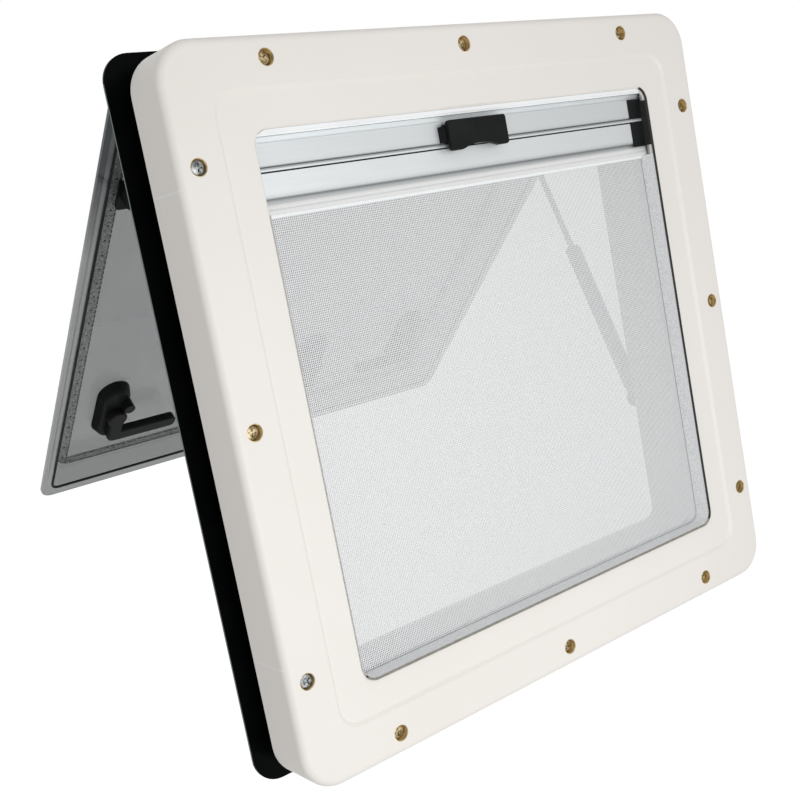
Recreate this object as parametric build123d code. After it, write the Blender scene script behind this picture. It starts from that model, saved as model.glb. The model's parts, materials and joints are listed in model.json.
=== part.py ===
from build123d import *
from math import sin, cos, atan2, degrees, radians, hypot
import os

os.makedirs("parts", exist_ok=True)

# All sizes in mm. X runs to the right seen from inside, Y outwards, Z up.
# Shapes are drawn about the middle of the opening and set down on the mount at the end.

# Opening and wall
opening_w = 396.0
opening_h = 396.0
opening_r = 11.0
wall_gap = 23.0

# Inner frame
face_w = 63.0
frame_depth = 43.0
frame_r = 29.0
frame_edge_r = 6.0
opening_edge = 1.6
face_t = 5.0
side_t = 4.0
panel_w = 28.0
panel_r = 18.0
panel_drop = 2.0
panel_slope = 55.0
screw_line = 47.0
screw_in = 20.0
screw_r = 2.5
sink_r = 6.2
sink_depth = 10.0
boss_w = 16.0

# Outer frame
flange_w = 69.5
flange_t = 3.5
flange_r = 21.0
flange_edge = 1.2
spigot_w = 51.5
spigot_t = 2.5
spigot_r = 16.0
port_w = 9.0

# Reveal lining
lining_t = 2.5
lining_fit = 0.1

# Flap seal
seal_in = 45.0
seal_w = 9.0
seal_h = 4.7
seal_r = 9.0
seal_crown = 1.8

# Hinge
hinge_y = 10.0
hinge_up = 59.0
hinge_short = 13.0
bead_r = 2.6
bead_play = 0.3
hook_t = 2.3
hook_start = 60.0
hook_end = 220.0
web_t = 2.0
rail_low = 4.5
rail_high = 8.0
rail_t = 1.5
leaf_t = 2.0
leaf_len = 6.5

# Flap
open_angle = 49.2
flap_side = 55.0
flap_top = 53.5
flap_foot = 55.0
flap_r = 13.0
rim_y = 8.5
rim_t = 3.0
rim_w = 10.0
tray_t = 3.0
tray_floor = 32.0
tray_lean = 12.0
tray_lean_low = 2.0
tray_close = 5.0
tray_edge_r = 5.0
inner_fit = 0.6
inner_y = 28.0
inner_t = 2.5
inner_r = 9.0
bond_fit = 2.5
bond_w = 10.0
bond_r = 4.0

# Struts
strut_out = 17.0
foot_y = 16.0
foot_drop = 341.0
head_y = 13.5
head_s = 125.0
tube_r = 7.5
tube_len = 163.0
tube_wall = 1.0
tube_dome = 3.0
tube_start = 14.0
rod_r = 3.0
rod_len = 142.0
rod_play = 0.15
eye_r = 6.0
eye_t = 6.0
eye_play = 0.4
pin_r = 2.5
pin_play = 0.1
cheek_t = 2.5
cheek_r = 7.5
foot_plate = 2.5
foot_w = 24.0
foot_h = 34.0
head_w = 15.0
head_up = 8.0
head_low = 21.0
head_r = 3.0

# Latches
latch_in = 14.0
latch_mid_in = 148.0
latch_up = 98.0
base_w = 34.0
base_l = 76.0
base_h = 10.9
base_taper = 20.0
base_crown = 2.0
button_r = 5.5
button_x = 10.0
button_z = 14.0
button_h = 8.6
button_root = 4.0
lever_gap = 0.3
lever_t = 8.0
lever_w = 14.0
lever_drop = 26.0
lever_reach = 68.0
lever_hub_r = 10.0
lever_edge = 1.4
stem_r = 4.0
stem_play = 0.1
stem_len = 7.5
keeper_w = 22.0
keeper_t = 2.5
keeper_foot = 7.0
keeper_foot_t = 2.0
keeper_post = 32.9
keeper_post_t = 3.0
keeper_lip = 19.5
keeper_gap = 2.3

# Blind and screen unit
unit_reach = 38.0
unit_back = 37.0
cassette_drop = 3.0
cassette_lip = 2.0
cassette_lip_fit = 0.2
screen_cassette_top = 10.0
guide_in = 1.0
guide_w = 18.0
guide_slot = 16.0
guide_slot_play = 1.0
guide_web = 2.0
bar_front = 57.0
bar_depth = 14.0
cap_in = 10.0
cap_out = 15.0
bar_play = 0.3
bar_edge_r = 2.2
blind_under = 25.0
blind_face_h = 16.4
blind_neck_h = 4.8
blind_neck_back = 3.0
screen_groove = 2.4
screen_face_h = 17.1
screen_groove_up = 2.1
screen_flange_h = 2.5
groove_depth = 2.5
strip_h = 8.0
strip_bead_h = 3.0
strip_bead = 1.2
strip_front = 54.5
strip_depth = 8.0
clip_w = 60.0
clip_h = 23.0
clip_under = 31.5
clip_front = 66.0
clip_t = 4.0
clip_r = 2.5
clip_edge = 0.8
clip_scoop_r = 50.0
clip_scoop_rise = 3.5
mesh_y = 50.0
mesh_t = 0.4
mesh_tuck = 1.5
mesh_cells = 12
mesh_rib = 4.0

ow = opening_w / 2
oh = opening_h / 2
back_y = -wall_gap
face_y = -wall_gap - frame_depth
plate_y = face_y + face_t
seat_z = oh + (spigot_w + flange_w) / 2
hinge_z = oh + hinge_up
parts = {}


def rounded(w, h, r):
    return RectangleRounded(w, h, r)


def around(reach, r):
    return rounded(opening_w + 2 * reach, opening_h + 2 * reach, r)


def slab(sketch, y0, y1):
    return extrude(Plane.XZ.offset(-y0) * sketch, amount=-(y1 - y0))


def tapered(sketch, y0, y1, angle):
    return extrude(Plane.XZ.offset(-y0) * sketch, amount=-(y1 - y0), taper=angle)


def along_x(sketch, x0, x1):
    return extrude(Plane.YZ.offset(x0) * sketch, amount=x1 - x0)


def shape(points):
    return make_face(Polyline(points, close=True))


def block(x0, x1, y0, y1, z0, z1):
    size = Box(abs(x1 - x0), abs(y1 - y0), abs(z1 - z0))
    return Pos((x0 + x1) / 2, (y0 + y1) / 2, (z0 + z1) / 2) * size


def drill(x, z, r, y0, y1):
    return slab(Pos(x, z) * Circle(r), y0, y1)


def pillar(x, z, w, y0, y1):
    return slab(Pos(x, z) * Rectangle(w, w), y0, y1)


def edges_at_y(solid, y):
    return solid.edges().filter_by_position(Axis.Y, y - 0.01, y + 0.01)


def opened(solid):
    return solid.rotate(Axis((0, hinge_y, hinge_z), (1, 0, 0)), open_angle)


screws = []
for side in (-1, 1):
    for step in (-1, 0, 1):
        screws.append((step * (ow - screw_in), side * (oh + screw_line)))
        screws.append((side * (ow + screw_line), step * (oh - screw_in)))

# Inner frame: a channel moulding with a stepped face and a pillar behind each screw
inner = slab(around(face_w, frame_r), face_y, back_y)
inner = fillet(edges_at_y(inner, face_y), frame_edge_r)
inner -= slab(around(face_w - side_t, frame_r - side_t), plate_y, back_y)
inner -= tapered(around(panel_w, panel_r), face_y, face_y + panel_drop, panel_slope)
inner -= slab(around(0, opening_r), face_y, back_y)
lip = edges_at_y(inner, face_y + panel_drop)
lip = [e for e in lip if abs(e.center().X) < ow + 1 and abs(e.center().Z) < oh + 1]
inner = chamfer(lip, opening_edge)
for x, z in screws:
    inner += pillar(x, z, boss_w, plate_y, back_y)
for x, z in screws:
    inner -= drill(x, z, sink_r, face_y, face_y + sink_depth)
    inner -= drill(x, z, screw_r, face_y, back_y)
parts["inner_frame"] = inner

# Outer frame: flange outside the wall, spigot through it, screw ports
lining_out = lining_t + lining_fit
outer = slab(around(flange_w, flange_r), 0, flange_t)
outer = chamfer(edges_at_y(outer, flange_t), flange_edge)
outer += slab(around(spigot_w, spigot_r), back_y, 0)
outer -= slab(around(spigot_w - spigot_t, spigot_r - spigot_t), back_y, 0)
for x, z in screws:
    outer += pillar(x, z, port_w, back_y, 0)
for x, z in screws:
    outer -= drill(x, z, screw_r, back_y, 0)
outer -= slab(around(lining_out, opening_r + lining_out), back_y, flange_t)
parts["outer_frame"] = outer

# Reveal lining through the wall
lining = slab(around(lining_t, opening_r + lining_t), -unit_back, flange_t)
lining -= slab(around(0, opening_r), -unit_back, flange_t)
parts["reveal_lining"] = lining

# Flap seal on the flange
seal_top = flange_t + seal_h
seal = slab(around(seal_in + seal_w, seal_r + seal_w), flange_t, seal_top)
seal -= slab(around(seal_in, seal_r), flange_t, seal_top)
parts["flap_seal"] = chamfer(edges_at_y(seal, seal_top), seal_crown)

# Hinge rail with a bead, and the hook on the flap that rolls on it
flap_w = opening_w + 2 * flap_side
flap_h = opening_h + flap_top + flap_foot
hinge_end = flap_w / 2 - hinge_short
rail_top = flange_t + rail_t
rail = shape([
    (flange_t, hinge_z - rail_low), (rail_top, hinge_z - rail_low),
    (rail_top, hinge_z + rail_high), (flange_t, hinge_z + rail_high)])
rail += shape([
    (flange_t, hinge_z - web_t / 2), (hinge_y, hinge_z - web_t / 2),
    (hinge_y, hinge_z + web_t / 2), (flange_t, hinge_z + web_t / 2)])
rail += Pos(hinge_y, hinge_z) * Circle(bead_r)
parts["hinge_rail"] = along_x(rail, -hinge_end, hinge_end)

hook_in = bead_r + bead_play
hook_out = hook_in + hook_t


def mouth_corner(turn):
    reach = 2 * hook_out
    return (reach * cos(radians(turn)), reach * sin(radians(turn)))


hook_mid = (hook_start + hook_end) / 2
mouth = shape([(0, 0), mouth_corner(hook_start), mouth_corner(hook_mid), mouth_corner(hook_end)])
hook = Pos(hinge_y, hinge_z) * (Circle(hook_out) - Circle(hook_in) - mouth)
flap_top_z = oh + flap_top
rim_out = rim_y + rim_t
leaf = shape([
    (rim_out, flap_top_z - leaf_len), (rim_out + leaf_t, flap_top_z - leaf_len),
    (rim_out + leaf_t, hinge_z - hook_in), (rim_out, hinge_z - hook_in)])
hook += leaf - Pos(hinge_y, hinge_z) * Circle(hook_in)
parts["flap_hinge_profile"] = opened(along_x(hook, -hinge_end, hinge_end))

# Flap: a formed tray with drafted walls, a flat inner pane and the strip that bonds them
flap_mid = flap_top_z - flap_h / 2


def on_flap(side, low, r):
    outline = rounded(flap_w - 2 * side, flap_h - side - low, r)
    return Pos(0, flap_mid + (low - side) / 2) * outline


def leaning(inset, y0, y1):
    start = Plane.XZ.offset(-y0) * on_flap(inset, inset, flap_r)
    end = Plane.XZ.offset(-y1) * on_flap(inset + tray_lean, inset + tray_lean_low, flap_r - tray_close)
    return loft([start, end], ruled=True)


tray_back = tray_floor + tray_t
tray = leaning(rim_w - tray_t, rim_out, tray_back)
tray = fillet(edges_at_y(tray, tray_back), tray_edge_r)
tray += slab(on_flap(0, 0, flap_r), rim_y, rim_out)
tray -= leaning(rim_w, rim_y, tray_floor)
parts["outer_pane"] = opened(tray)
floor_side = rim_w + tray_lean
floor_low = rim_w + tray_lean_low
inner_pane = slab(on_flap(floor_side + inner_fit, floor_low + inner_fit, inner_r), inner_y, inner_y + inner_t)
parts["inner_pane"] = opened(inner_pane)
bond_side = floor_side + bond_fit
bond_low = floor_low + bond_fit
bond = slab(on_flap(bond_side, bond_low, bond_r + bond_w), inner_y + inner_t, tray_floor)
bond -= slab(on_flap(bond_side + bond_w, bond_low + bond_w, bond_r), inner_y + inner_t, tray_floor)
parts["bond_strip"] = opened(bond)

# Struts
strut_x = ow + strut_out
foot_z = hinge_z - foot_drop
head_z = hinge_z - head_s
turned = radians(open_angle)
arm_y = head_y - hinge_y
arm_z = head_z - hinge_z
top_y = hinge_y + arm_y * cos(turned) - arm_z * sin(turned)
top_z = hinge_z + arm_y * sin(turned) + arm_z * cos(turned)
lean = degrees(atan2(top_y - foot_y, top_z - foot_z))
strut_len = hypot(top_y - foot_y, top_z - foot_z)


def upright(r, z0, z1):
    return Pos(0, 0, (z0 + z1) / 2) * Cylinder(r, z1 - z0)


def across(r, t):
    return Rot(0, 90, 0) * Cylinder(r, t)


def in_strut(solid, x):
    return Pos(x, foot_y, foot_z) * Rot(-lean, 0, 0) * solid


tube = upright(tube_r, tube_start, tube_len)
tube = chamfer(tube.edges().filter_by_position(Axis.Z, tube_len - 0.01, tube_len + 0.01), tube_dome)
tube -= upright(tube_r - tube_wall, tube_start + tube_dome, tube_len - tube_dome - tube_wall)
tube -= upright(rod_r + rod_play, tube_len - tube_dome - 2 * tube_wall, tube_len + 1)
tube += block(-eye_t / 2, eye_t / 2, -eye_r, eye_r, 0, tube_start)
tube += across(eye_r, eye_t)
tube -= across(pin_r + pin_play, 2 * eye_t)
rod = upright(rod_r, strut_len - rod_len, strut_len - eye_r)
rod += Pos(0, 0, strut_len) * across(eye_r, eye_t)
rod += block(-eye_t / 2, eye_t / 2, -rod_r, rod_r, strut_len - 2 * eye_r, strut_len)


def cheeks(y, z, base_y):
    plate = Pos(0, y, z) * across(cheek_r, cheek_t)
    plate += block(-cheek_t / 2, cheek_t / 2, y, base_y, z - cheek_r, z + cheek_r)
    shift = eye_t / 2 + eye_play + cheek_t / 2
    return Pos(-shift, 0, 0) * plate + Pos(shift, 0, 0) * plate


foot_top = flange_t + foot_plate
foot = block(-foot_w / 2, foot_w / 2, flange_t, foot_top, foot_z - foot_h / 2, foot_z + foot_h / 2)
foot += cheeks(foot_y, foot_z, foot_top)
foot += Pos(0, foot_y, foot_z) * across(pin_r, eye_t + 2 * eye_play + 2 * cheek_t)
head_seat = inner_y - foot_plate
head_mid = head_z + (head_up - head_low) / 2
head = slab(Pos(0, head_mid) * rounded(head_w, head_up + head_low, head_r), head_seat, inner_y)
head += cheeks(head_y, head_z, head_seat)
for name, x in (("left", -strut_x), ("right", strut_x)):
    parts["strut_tube_" + name] = in_strut(tube, x)
    parts["strut_rod_" + name] = in_strut(rod, x)
    parts["strut_bracket_" + name] = Pos(x, 0, 0) * foot
    parts["flap_bracket_" + name] = opened(Pos(x, 0, 0) * head)

# Latches on the flap and their keepers on the flange
latch_z = -oh - flap_foot + latch_up
base_top = inner_y - base_h
base = tapered(SlotOverall(base_l, base_w, rotation=90), inner_y, base_top, base_taper)
base = chamfer(edges_at_y(base, base_top), base_crown)
base += drill(button_x, button_z, button_r, base_top - button_h, base_top + button_root)
base -= drill(0, 0, stem_r + stem_play, base_top, base_top + stem_len + stem_play + lever_gap)
lever_back = base_top - lever_gap
lever_front = lever_back - lever_t
tip = lever_reach - lever_w / 2
arm = Circle(lever_hub_r)
arm += Pos(0, -lever_drop / 2) * Rectangle(lever_w, lever_drop)
arm += Pos(0, -lever_drop) * Circle(lever_w / 2)
arm += Pos(tip / 2, -lever_drop) * Rectangle(tip, lever_w)
arm += Pos(tip, -lever_drop) * Circle(lever_w / 2)
lever = slab(arm, lever_front, lever_back)
lever = chamfer(edges_at_y(lever, lever_front), lever_edge)
lever += drill(0, 0, stem_r, lever_back, lever_back + stem_len)
lip_y = lever_back + keeper_gap
post_z = -oh - keeper_post
foot_end = flange_t + keeper_foot_t
keeper = shape([
    (flange_t, post_z - keeper_foot), (foot_end, post_z - keeper_foot), (foot_end, post_z),
    (lip_y + keeper_t, post_z), (lip_y + keeper_t, post_z + keeper_lip), (lip_y, post_z + keeper_lip),
    (lip_y, post_z + keeper_post_t), (flange_t, post_z + keeper_post_t)])
keeper = along_x(keeper, -keeper_w / 2, keeper_w / 2)
latch_side = ow - latch_in
latch_mid = ow - latch_mid_in
for name, x, way in (("left", -latch_side, 1), ("middle", latch_mid, -1), ("right", latch_side, -1)):
    turned_base = base if way > 0 else mirror(base, about=Plane.YZ)
    turned_lever = lever if way > 0 else mirror(lever, about=Plane.YZ)
    parts["latch_base_" + name] = opened(Pos(x, 0, latch_z) * turned_base)
    parts["latch_lever_" + name] = opened(Pos(x, 0, latch_z) * turned_lever)
    parts["latch_keeper_" + name] = Pos(x - way * lever_drop, 0, 0) * keeper

# Blind and screen unit behind the face
unit_w = ow + unit_reach
cassette_low = oh - cassette_drop
cassette = block(-unit_w, unit_w, plate_y, -unit_back, cassette_low, oh + unit_reach)
valance = slab(around(-cassette_lip_fit, opening_r - cassette_lip_fit), plate_y - cassette_lip, plate_y)
valance &= block(-ow, ow, plate_y - cassette_lip, plate_y, cassette_low, oh)
parts["blind_cassette"] = cassette + valance
tray_top = -oh - screen_cassette_top
lower_box = block(-unit_w, unit_w, plate_y, -unit_back, -oh - unit_reach, tray_top)
guide_x = ow + guide_in
guide_end = guide_x + guide_w
slot_end = guide_end - guide_web
slot_front = -bar_front - guide_slot_play
slot_rear = slot_front + guide_slot
guide = shape([
    (plate_y, guide_x), (slot_front, guide_x), (slot_front, slot_end), (slot_rear, slot_end),
    (slot_rear, guide_x), (-unit_back, guide_x), (-unit_back, guide_end), (plate_y, guide_end)])
guide = extrude(Plane.XY.offset(tray_top) * guide, amount=cassette_low - tray_top)
guide_left = guide.rotate(Axis.Z, 90)
parts["side_guide_left"] = guide_left
parts["side_guide_right"] = mirror(guide_left, about=Plane.YZ)

# Pull bars with rounded lower edges: black end caps flank the faces, neck and flange run over them
front = -bar_front
rear = front + bar_depth
bar_end = ow - cap_in
cap_end = ow + cap_out


def front_edge(solid, z):
    return edges_at_y(solid, front).filter_by(Axis.X).filter_by_position(Axis.Z, z - 0.01, z + 0.01)


blind_low = oh - blind_under
blind_face = blind_low + blind_face_h
blind_top = blind_face + blind_neck_h
blind_bar = block(-bar_end, bar_end, front, rear, blind_low, blind_face)
blind_bar = fillet(front_edge(blind_bar, blind_low), bar_edge_r)
blind_bar += block(-cap_end, cap_end, front + blind_neck_back, rear, blind_face, blind_top)
parts["blind_bar"] = blind_bar
flange_high = blind_low - bar_play
flange_low = flange_high - screen_flange_h
face_high = flange_low - screen_groove_up
face_low = face_high - screen_face_h
screen_low = face_low - screen_groove
sunk = front + groove_depth
screen_bar = shape([
    (sunk, screen_low), (sunk, face_low), (front, face_low), (front, face_high), (sunk, face_high),
    (sunk, flange_low), (rear, flange_low), (rear, screen_low)])
screen_bar = along_x(screen_bar, -bar_end, bar_end)
screen_bar = fillet(front_edge(screen_bar, face_low), bar_edge_r)
screen_bar += block(-cap_end, cap_end, front, rear, flange_low, flange_high)
parts["screen_bar"] = screen_bar
for name, x0, x1 in (("left", -cap_end, -bar_end), ("right", bar_end, cap_end)):
    parts["blind_bar_cap_" + name] = block(x0, x1, front, rear, blind_low, blind_face)
    parts["screen_bar_cap_" + name] = block(x0, x1, front, rear, screen_low, flange_low)
strip_y = -strip_front
strip_low = screen_low - strip_h
strip_rear = strip_y + strip_depth
strip = shape([
    (strip_y, screen_low), (strip_y, strip_low + strip_bead_h), (strip_y - strip_bead, strip_low + strip_bead_h),
    (strip_y - strip_bead, strip_low), (strip_rear, strip_low), (strip_rear, screen_low)])
parts["screen_clamp_strip"] = along_x(strip, -cap_end, cap_end)

# Clip: sits on the blind bar and reaches down over the screen bar's flange
clip_low = oh - clip_under
clip_back = -clip_front + clip_t
clip_mid = clip_low + clip_h / 2
clip = slab(Pos(0, clip_mid) * rounded(clip_w, clip_h, clip_r), -clip_front, clip_back)
clip = chamfer(edges_at_y(clip, -clip_front), clip_edge)
clip -= drill(0, clip_low + clip_scoop_rise - clip_scoop_r, clip_scoop_r, -clip_front, clip_back)
clip += block(-clip_w / 2, clip_w / 2, clip_back, front, blind_low + bar_play, clip_low + clip_h - clip_r)
parts["bar_clip"] = clip

# Flyscreen, held by the strip above and let into the cassette below, as a coarse grid
mesh_front = -mesh_y - mesh_t / 2
mesh_low = tray_top - mesh_tuck
groove_in = mesh_front - bar_play
groove_out = mesh_front + mesh_t + bar_play
groove = block(-cap_end - bar_play, cap_end + bar_play, groove_in, groove_out, mesh_low - bar_play, tray_top)
parts["screen_cassette"] = lower_box - groove
mesh_w = 2 * cap_end
mesh_h = strip_low - mesh_low
cell_w = (mesh_w - mesh_rib) / mesh_cells
cell_h = (mesh_h - mesh_rib) / mesh_cells
cells = GridLocations(cell_w, cell_h, mesh_cells, mesh_cells) * Rectangle(cell_w - mesh_rib, cell_h - mesh_rib)
mesh = Rectangle(mesh_w, mesh_h) - cells
parts["flyscreen"] = slab(Pos(0, (mesh_low + strip_low) / 2) * mesh, mesh_front, mesh_front + mesh_t)

for name, solid in parts.items():
    export_step(Pos(0, 0, seat_z) * solid, "parts/" + name + ".step")
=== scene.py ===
import json
import math

import bmesh
import bpy
from mathutils import Matrix, Vector


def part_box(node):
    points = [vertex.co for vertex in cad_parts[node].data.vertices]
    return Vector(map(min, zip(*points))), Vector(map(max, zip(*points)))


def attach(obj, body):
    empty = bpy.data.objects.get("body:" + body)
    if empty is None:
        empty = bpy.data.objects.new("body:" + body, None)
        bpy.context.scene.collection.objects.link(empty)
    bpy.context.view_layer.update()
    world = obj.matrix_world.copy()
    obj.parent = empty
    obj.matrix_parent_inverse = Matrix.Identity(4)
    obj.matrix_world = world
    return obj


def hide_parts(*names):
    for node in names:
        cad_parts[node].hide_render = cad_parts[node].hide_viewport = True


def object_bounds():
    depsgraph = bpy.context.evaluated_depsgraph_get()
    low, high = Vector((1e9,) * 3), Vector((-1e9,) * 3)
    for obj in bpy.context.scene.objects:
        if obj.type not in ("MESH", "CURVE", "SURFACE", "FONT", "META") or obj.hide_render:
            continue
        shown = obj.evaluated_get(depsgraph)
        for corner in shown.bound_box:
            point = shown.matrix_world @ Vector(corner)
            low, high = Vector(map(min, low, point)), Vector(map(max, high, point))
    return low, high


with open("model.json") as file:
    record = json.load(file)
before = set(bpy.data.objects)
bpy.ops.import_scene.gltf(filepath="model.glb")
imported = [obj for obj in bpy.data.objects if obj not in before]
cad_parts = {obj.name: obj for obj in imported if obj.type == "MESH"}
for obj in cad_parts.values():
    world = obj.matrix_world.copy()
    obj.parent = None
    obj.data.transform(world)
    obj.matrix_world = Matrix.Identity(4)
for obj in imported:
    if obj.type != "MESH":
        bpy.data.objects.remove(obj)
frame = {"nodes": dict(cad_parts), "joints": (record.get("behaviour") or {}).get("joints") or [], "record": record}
cad_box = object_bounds()
record = frame["record"]
nodes = frame["nodes"]
flap_hinge = next(joint for joint in frame["joints"] if joint["name"] == "flap_hinge")

# The record states spacings in millimetres; all else is in metres
MM = 0.001

# Camera, solved from the photograph
CAMERA_POS = (-0.59966, -0.73495, 0.36627)
CAMERA_FORWARD = (0.57514, 0.80637, -0.13776)
CAMERA_UP = (0.23202, 0.00069, 0.97271)
CAMERA_FOV = math.radians(38.993)
CAMERA_REACH = 200.0

# Hinge line, and the angle that the flap stands open at rest, which the joint turns back to shut it
HINGE = Vector(flap_hinge["pos_m"])
OPEN_ANGLE = math.radians(flap_hinge["range_deg"][1])

# Screws, heights counted from the seat, and the turn from one screw's recess to the next
SCREW_HEAD_R = 0.0054
SCREW_HEAD_H = 0.0026
SCREW_RIM_H = 0.00091
SCREW_DOME_POWER = 0.6
SCREW_DOME_STEPS = 5
SCREW_SHANK_R = 0.0020
SCREW_LENGTH = 0.030
SCREW_POINT_R = 0.0008
SCREW_POINT_H = 0.002
SCREW_TAPER_H = 0.006
SCREW_SLOT_W = 0.0012
SCREW_SLOT_L = 0.0060
SCREW_SLOT_DEEP = 0.0016
SCREW_RISE = 0.0035
BARE_SCREW_RISE = 0.0062
SCREW_TURN = math.radians(37.0)

# Liners of the screw holes
LINER_R = 0.0061
LINER_WALL = 0.0004
LINER_SEAT = 0.0002
LINER_RISE = 0.0096

# Sides of turned pieces, and the reach within which doubled points are merged
TURNED_SIDES = 32
MERGE_REACH = 1e-6

# Steps of a quarter turn at a border's corner and at a bar's eased edge
CORNER_STEPS = 8
EDGE_STEPS = 6

# Flyscreen weave of flat threads
THREAD_W = 0.00080
THREAD_T = 0.00030
THREAD_PITCH = 0.0016

# Bond strip: dots on its middle line, dashes on its inner border
BOND_WIDTH = 0.010
DOT_PITCH = 0.0166
DOT_R = 0.0011
DASH_PITCH = 0.006
DASH_LENGTH = 0.0042
DASH_INSET = 0.0042
DASH_WIDTH = 0.0013

# Seam line round the inside of the flap's rim
SEAM_INSET = 0.0098
SEAM_WIDTH = 0.0020
SEAM_FRONT = 0.0082
SEAM_DEPTH = 0.0018
SEAM_R = 0.0090

# Screen bar's section: its top flange, the grooves above and below its face, and the painted shadow strip in the
# upper one
BAR_FLANGE_H = 0.0025
GROOVE_UP_H = 0.0021
GROOVE_LOW_H = 0.0024
GROOVE_DEPTH = 0.0025
GROOVE_PLAY = 0.0002
SHADOW_STRIP_H = 0.0012
SHADOW_STRIP_SUNK = 0.0009

# Bars' eased lower edges, the place where the short left caps end, and the lips of the right caps
BAR_EDGE_R = 0.0022
LEFT_CAP_END = -0.1975
CAP_LIP = 0.0055
CAP_LIP_T = 0.0005

# Bars' metal: painted reflection level at the left and right ends, then painted shade and highlight as (height,
# level) over both sections, from the foot
BAR_LEFT_PAINTED_LEVEL = 1.0
BAR_RIGHT_PAINTED_LEVEL = 0.80
SCREEN_BAR_PAINTED_SHADES = (
    (0.0, 0.58), (0.0012, 0.42), (0.0023, 0.29), (0.0026, 0.31), (0.0032, 0.48), (0.0041, 0.66),
    (0.0056, 0.78), (0.0070, 0.81), (0.0226, 0.81), (0.0231, 0.46), (0.0241, 0.36))
BLIND_BAR_PAINTED_SHADES = (
    (0.0, 0.47), (0.0007, 0.57), (0.0014, 0.66), (0.0021, 0.71), (0.0037, 0.75), (0.0152, 0.75),
    (0.0161, 0.80), (0.0165, 0.84), (0.0180, 0.96), (0.0192, 1.0), (0.0212, 1.0))

# Clamp strip's painted shade and highlight, as (height, level), and the bead that edges the mesh below it
CLAMP_PAINTED_SHADES = (
    (0.0, 0.95), (0.0043, 0.95), (0.0049, 1.0), (0.0058, 0.92), (0.0066, 0.84), (0.0072, 0.70),
    (0.0080, 0.56))
BEAD_REACH = 0.1985
BEAD_H = 0.0021
BEAD_T = 0.0010

# Valance trim below the cassette
TRIM_DROP = 0.0013
TRIM_T = 0.0012

# Frame's opening, as in the part's source, and the play of what lines it
OPENING_HALF = 0.198
OPENING_R = 0.011
OPENING_CHAMFER = 0.0016
SEAT_PLAY = 0.0001

# Woven edging between the mesh and the opening's wall; depths are counted from the frame's face
LIP_REACH = 0.0010
LIP_FRONT = 0.0017
LIP_REAR = 0.0145
LIP_T = 0.0008

# Painted shadow gap: a dark strip on the opening's bevel, from the lower left corner to the upper right one, paler
# along its foot
GAP_SHADOW_FRONT = 0.0003
GAP_SHADOW_T = 0.00025
GAP_SHADOW_FIRST = CORNER_STEPS // 2
GAP_SHADOW_LAST = -(CORNER_STEPS // 3)
GAP_SHADOW_FOOT_H = OPENING_R / 3

# Shoe behind the clip's plate
SHOE_REACH = 0.004
SHOE_T = 0.0045
SHOE_LOW = 0.0005
SHOE_TOP = 0.0040
SHOE_EDGE = 0.0006
SHOE_EDGE_STEPS = 2

# Painted highlight: a pale line along the black flange's side edges
EDGE_SKIN = 0.0001
EDGE_HIGHLIGHT_Y = 0.0014
EDGE_HIGHLIGHT_HALF = 0.0006

# Joint lines in the side walls of the moulded frame
MOULD_LINE_UP = 0.165
MOULD_LINE_HALF = 0.0005
WALL_EDGE = 0.2595

# Painted shade darkens the flap's rim towards the hinge; heights are those of the shut flap
RIM_BACK = 0.0118
RIM_SHADE_FROM = 0.335
RIM_SHADE_TO = 0.440
RIM_PAINTED_SHADE = 0.38

# Cream of the frame, and how far both panes hide what lies behind them
CREAM = (0.845, 0.815, 0.775)
CREAM_DARK = (0.825, 0.793, 0.750)
CREAM_LINE = (0.90, 0.88, 0.86)
TINT_ALPHA = 0.54
CLEAR_ALPHA = 0.06

# Dark of the painted shadow gap on the opening's bevel
GAP_SHADOW_DARK = (0.03, 0.03, 0.03)

# Noise: the range that it keeps to, the depth of moulded grain, and its stretch along drawn metal
NOISE_LOW = 0.3
NOISE_HIGH = 0.7
GRAIN_DEPTH = 0.0002
DRAWN = (0.02, 1.0, 1.0)

# Stage
WHITE = (1.0, 1.0, 1.0, 1.0)
FLOOR_DROP = 1.1
FLOOR_SIZE = 60.0
AMBIENT = 0.60
FLOOR_GLOW = 0.52
KEY_POS = (-0.18, -1.06, 0.06)
KEY_TARGET = (0.0, 0.0, 0.2)
KEY_SIZE = 0.7
KEY_POWER = 5.4


def principled(name, color, roughness, metallic=0.0, specular=0.5):
    """A new material and its shader."""
    mat = bpy.data.materials.new(name)
    mat.use_nodes = True
    shader = mat.node_tree.nodes["Principled BSDF"]
    shader.inputs["Base Color"].default_value = (*color, 1.0)
    shader.inputs["Roughness"].default_value = roughness
    shader.inputs["Metallic"].default_value = metallic
    shader.inputs["Specular IOR Level"].default_value = specular
    return mat, shader


def feed(tree, shader, socket, value):
    """Links a value to one of the shader's sockets."""
    tree.links.new(value, shader.inputs[socket])


def place(tree, scale=(1.0, 1.0, 1.0)):
    """Object coordinates, stretched along each axis."""
    coords = tree.nodes.new("ShaderNodeTexCoord")
    mapping = tree.nodes.new("ShaderNodeMapping")
    mapping.inputs["Scale"].default_value = scale
    tree.links.new(coords.outputs["Object"], mapping.inputs["Vector"])
    return mapping.outputs["Vector"]


def axes(tree, vector):
    """A vector's parts, as sockets named X, Y and Z."""
    node = tree.nodes.new("ShaderNodeSeparateXYZ")
    tree.links.new(vector, node.inputs[0])
    return node.outputs


def noise(tree, vector, scale, detail=3.0, rough=0.5):
    """Cloudy values about 0.5."""
    node = tree.nodes.new("ShaderNodeTexNoise")
    node.inputs["Scale"].default_value = scale
    node.inputs["Detail"].default_value = detail
    node.inputs["Roughness"].default_value = rough
    tree.links.new(vector, node.inputs["Vector"])
    return node.outputs["Fac"]


def ramp(tree, value, dark, light, low=NOISE_LOW, high=NOISE_HIGH):
    """A colour between two, from a value between low and high."""
    node = tree.nodes.new("ShaderNodeValToRGB")
    first, last = node.color_ramp.elements
    first.position = low
    first.color = (*dark, 1.0)
    last.position = high
    last.color = (*light, 1.0)
    tree.links.new(value, node.inputs["Fac"])
    return node.outputs["Color"]


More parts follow.
